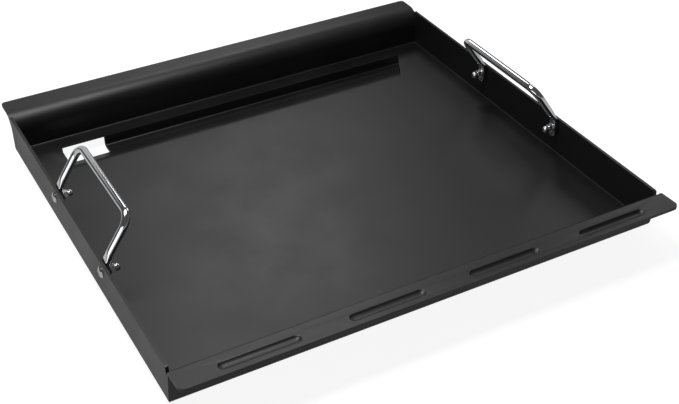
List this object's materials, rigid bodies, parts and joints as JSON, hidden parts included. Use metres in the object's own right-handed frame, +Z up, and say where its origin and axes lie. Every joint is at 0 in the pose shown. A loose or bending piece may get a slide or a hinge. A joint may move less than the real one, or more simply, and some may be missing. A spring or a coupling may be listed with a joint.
{
  "type": "camp griddle plate",
  "caption": "Shallow rectangular griddle pan of folded black sheet with a rear grease trough, a drain hole and bolted chrome rod handles.",
  "frame": {"origin": "middle of the bounding box in X and Y, at the level of the trough's underside, the lowest point", "axes": "+X to the right, +Y to the rear where the trough is, +Z up; the pan's floor is level"},
  "size_m": [0.514, 0.5052, 0.098],
  "materials": {
    "black_coating": "satin black coating",
    "chrome_rod": "bright chrome plating",
    "plated_screw": "bright plating",
    "steel_washer": "bright zinc plating",
    "chrome_nut": "bright chrome plating"
  },
  "bodies": {
    "root": {"griddle_pan": "black_coating", "left_handle": "chrome_rod", "right_handle": "chrome_rod", "left_front_screw": "plated_screw", "left_rear_screw": "plated_screw", "right_front_screw": "plated_screw", "right_rear_screw": "plated_screw", "left_front_washer": "steel_washer", "left_rear_washer": "steel_washer", "right_front_washer": "steel_washer", "right_rear_washer": "steel_washer", "left_front_cap_nut": "chrome_nut", "left_rear_cap_nut": "chrome_nut", "right_front_cap_nut": "chrome_nut", "right_rear_cap_nut": "chrome_nut"}
  },
  "joints": []
}
